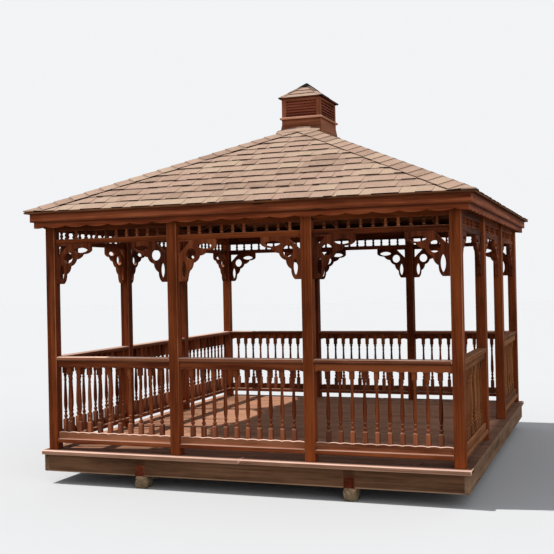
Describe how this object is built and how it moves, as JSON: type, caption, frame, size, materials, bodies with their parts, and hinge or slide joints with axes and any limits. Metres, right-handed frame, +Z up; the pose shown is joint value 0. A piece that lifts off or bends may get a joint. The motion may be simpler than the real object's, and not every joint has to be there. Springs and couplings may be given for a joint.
{
  "type": "garden gazebo",
  "caption": "Rectangular timber garden gazebo with turned baluster rails, scalloped fretwork brackets, spindle frieze, hipped shingle roof and louvered cupola on a raised deck.",
  "frame": {"origin": "middle of the footprint at ground level, under the middle of the roof's bounding box", "axes": "+X right towards the side with the entrance, +Y from the front to the back, +Z up"},
  "size_m": [3.928, 4.32, 3.7517],
  "materials": {
    "stained_wood": "semi-transparent red-brown stain, weathered",
    "deck_wood": "worn stain on deck boards",
    "shingle": "mineral granules on asphalt, matte",
    "weathered_block": "rough grey-tan",
    "dark_metal": "matte black"
  },
  "bodies": {
    "root": {"foundation_blocks": "weathered_block", "deck": "deck_wood", "skids": "stained_wood", "cross_beams": "stained_wood", "side_rims": "stained_wood", "joists": "stained_wood", "posts_front": "stained_wood", "posts_back": "stained_wood", "posts_sides": "stained_wood", "rail_front_1": "stained_wood", "rail_front_2": "stained_wood", "rail_front_3": "stained_wood", "rail_back_1": "stained_wood", "rail_back_2": "stained_wood", "rail_back_3": "stained_wood", "rail_left_1": "stained_wood", "rail_left_2": "stained_wood", "rail_left_3": "stained_wood", "rail_right_1": "stained_wood", "rail_right_3": "stained_wood", "frieze_front": "stained_wood", "brackets_front": "stained_wood", "frieze_right": "stained_wood", "brackets_right": "stained_wood", "frieze_back": "stained_wood", "brackets_back": "stained_wood", "frieze_left": "stained_wood", "brackets_left": "stained_wood", "plates_front_back": "stained_wood", "plates_sides": "stained_wood", "skirt_front_back": "stained_wood", "skirt_sides": "stained_wood", "fascia_front_back": "stained_wood", "fascia_sides": "stained_wood", "rafters": "stained_wood", "hip_rafters": "stained_wood", "cupola_base": "stained_wood", "cupola_louvers": "stained_wood", "roof_front": "shingle", "roof_right": "shingle", "roof_back": "shingle", "roof_left": "shingle", "hip_and_ridge_caps": "shingle", "cupola_roof": "shingle", "cupola_peak_cap": "dark_metal"}
  },
  "joints": []
}
